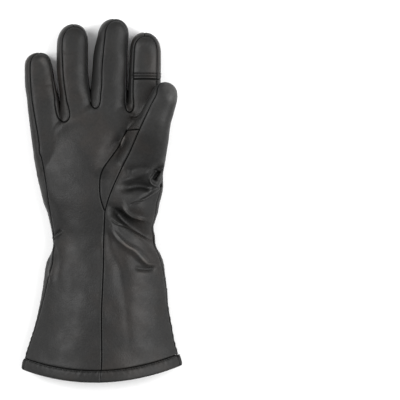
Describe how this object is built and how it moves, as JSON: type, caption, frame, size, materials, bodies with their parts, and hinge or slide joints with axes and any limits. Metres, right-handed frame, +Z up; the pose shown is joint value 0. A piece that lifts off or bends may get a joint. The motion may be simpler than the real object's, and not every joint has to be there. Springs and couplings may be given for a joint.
{
  "type": "heated gauntlet glove",
  "caption": "Padded leather gauntlet glove for the right hand, palm up, with a wing thumb, gusset, fourchettes, index touch tip, flared cuff and stitched hem.",
  "frame": {"origin": "on the surface the glove lies on, under the middle of its length and width", "axes": "+Y from the cuff's mouth to the fingertips, +X to the thumb's side, +Z up out of the palm"},
  "size_m": [0.152, 0.3422, 0.0499],
  "materials": {
    "leather": "dark grey drum-dyed leather, fine grain, soft satin sheen",
    "touch_leather": "dark grey smooth conductive leather, satin",
    "stitching": "black bonded thread, matte"
  },
  "bodies": {
    "root": {"palm_panel": "leather", "thumb_panel": "leather", "thumb_gusset": "leather", "thumb_back": "leather", "back_panel": "leather", "fourchette_little_ring": "leather", "fourchette_ring_middle": "leather", "fourchette_middle_index": "leather", "index_side_strip": "leather", "index_touch_tip": "touch_leather", "cuff_hem": "leather"}
  },
  "joints": []
}
